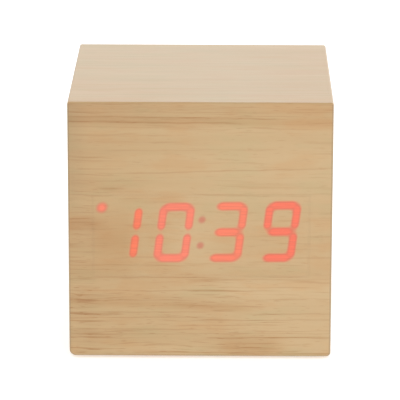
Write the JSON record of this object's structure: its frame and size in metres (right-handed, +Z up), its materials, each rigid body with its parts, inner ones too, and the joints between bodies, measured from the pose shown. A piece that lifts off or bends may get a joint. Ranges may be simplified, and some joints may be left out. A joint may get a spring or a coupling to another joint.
{
  "type": "cube alarm clock",
  "caption": "Small wood-effect cube alarm clock; red LED digits shine through the front, with buttons, power socket and sound holes at the back and a battery door below.",
  "frame": {"origin": "on the table, under the middle of the case, at the lowest point of the rubber feet", "axes": "+Z up, the display faces -Y, the buttons and the power socket face +Y, +X is to the viewer's right"},
  "size_m": [0.062, 0.062, 0.0626],
  "materials": {
    "film": "satin, fine straight grain, light beech colour",
    "fibreboard": "raw sawn fibreboard",
    "black_plastic": "fine spark-eroded texture",
    "button_plastic": "smooth semi-gloss",
    "rubber": "matt",
    "housing": "matt dark grey, white inside the wells",
    "lens_lit": "milky epoxy, alight",
    "lens_dark": "milky epoxy, dark",
    "die": "small clear chip",
    "green_board": "satin solder mask",
    "chip": "matt moulding compound",
    "ceramic_chip": "matt",
    "tin": "tinned",
    "zinc_screw": "bright zinc",
    "nickel": "nickel plated",
    "white_plastic": "satin nylon",
    "cell_jacket": "printed shrink sleeve",
    "steel": "bright",
    "buzzer": "matt",
    "aluminium": "satin",
    "ribbon": "soft grey insulation",
    "red_wire": "soft insulation",
    "black_wire": "soft insulation",
    "stem": "smooth",
    "bead": "smooth epoxy"
  },
  "bodies": {
    "clock": {"film_wrap": "film", "front_board": "fibreboard", "rear_board": "fibreboard", "left_board": "fibreboard", "right_board": "fibreboard", "top_board": "fibreboard", "corner_blocks": "fibreboard", "display_housing": "housing", "segment_lenses_lit": "lens_lit", "segment_lenses_dark": "lens_dark", "display_led_dies": "die", "display_substrate": "white_plastic", "display_board": "green_board", "display_pins": "tin", "display_driver_chip": "chip", "display_resistors": "ceramic_chip", "display_spacers": "white_plastic", "display_screws": "zinc_screw", "base_plate": "black_plastic", "rubber_feet": "rubber", "base_screws": "zinc_screw", "cell_jackets": "cell_jacket", "cell_terminals": "steel", "contact_springs": "nickel", "contact_plates": "nickel", "battery_lead_red": "red_wire", "battery_lead_black": "black_wire", "rear_bezel": "black_plastic", "switch_bodies": "chip", "switch_covers": "tin", "switch_legs": "tin", "dc_jack_body": "chip", "dc_jack_pin": "nickel", "dc_jack_contact": "nickel", "main_board": "green_board", "board_screws": "zinc_screw", "bezel_screws": "zinc_screw", "buzzer": "buzzer", "microphone": "aluminium", "temperature_sensor": "bead", "sensor_leads": "tin", "coin_cell_holder": "chip", "coin_cell": "steel", "coin_cell_clip": "nickel", "microcontroller": "chip", "microcontroller_legs": "tin", "clock_crystal": "steel", "reservoir_capacitor": "aluminium", "main_board_chips": "ceramic_chip", "main_plug": "white_plastic", "display_plug": "white_plastic", "ribbon_cable": "ribbon"},
    "set_button": {"set_button": "button_plastic", "set_switch_stem": "stem"},
    "up_button": {"up_button": "button_plastic", "up_switch_stem": "stem"},
    "down_button": {"down_button": "button_plastic", "down_switch_stem": "stem"},
    "battery_door": {"battery_door": "black_plastic", "battery_door_latch": "black_plastic"}
  },
  "joints": [
    {"name": "set_press", "type": "slide", "parent": "clock", "child": "set_button", "axis": [0, -1, 0], "range_m": [0, 0.0004], "stiffness_N_per_m": 80, "springref_m": -0.002},
    {"name": "up_press", "type": "slide", "parent": "clock", "child": "up_button", "axis": [0, -1, 0], "range_m": [0, 0.0004], "stiffness_N_per_m": 80, "springref_m": -0.002},
    {"name": "down_press", "type": "slide", "parent": "clock", "child": "down_button", "axis": [0, -1, 0], "range_m": [0, 0.0004], "stiffness_N_per_m": 80, "springref_m": -0.002},
    {"name": "battery_door_hinge", "type": "hinge", "parent": "clock", "child": "battery_door", "pos_m": [0, -0.01783, 0.0012], "axis": [-1, 0, 0], "range_deg": [0, 70], "deforming": ["battery_door_latch"]}
  ]
}
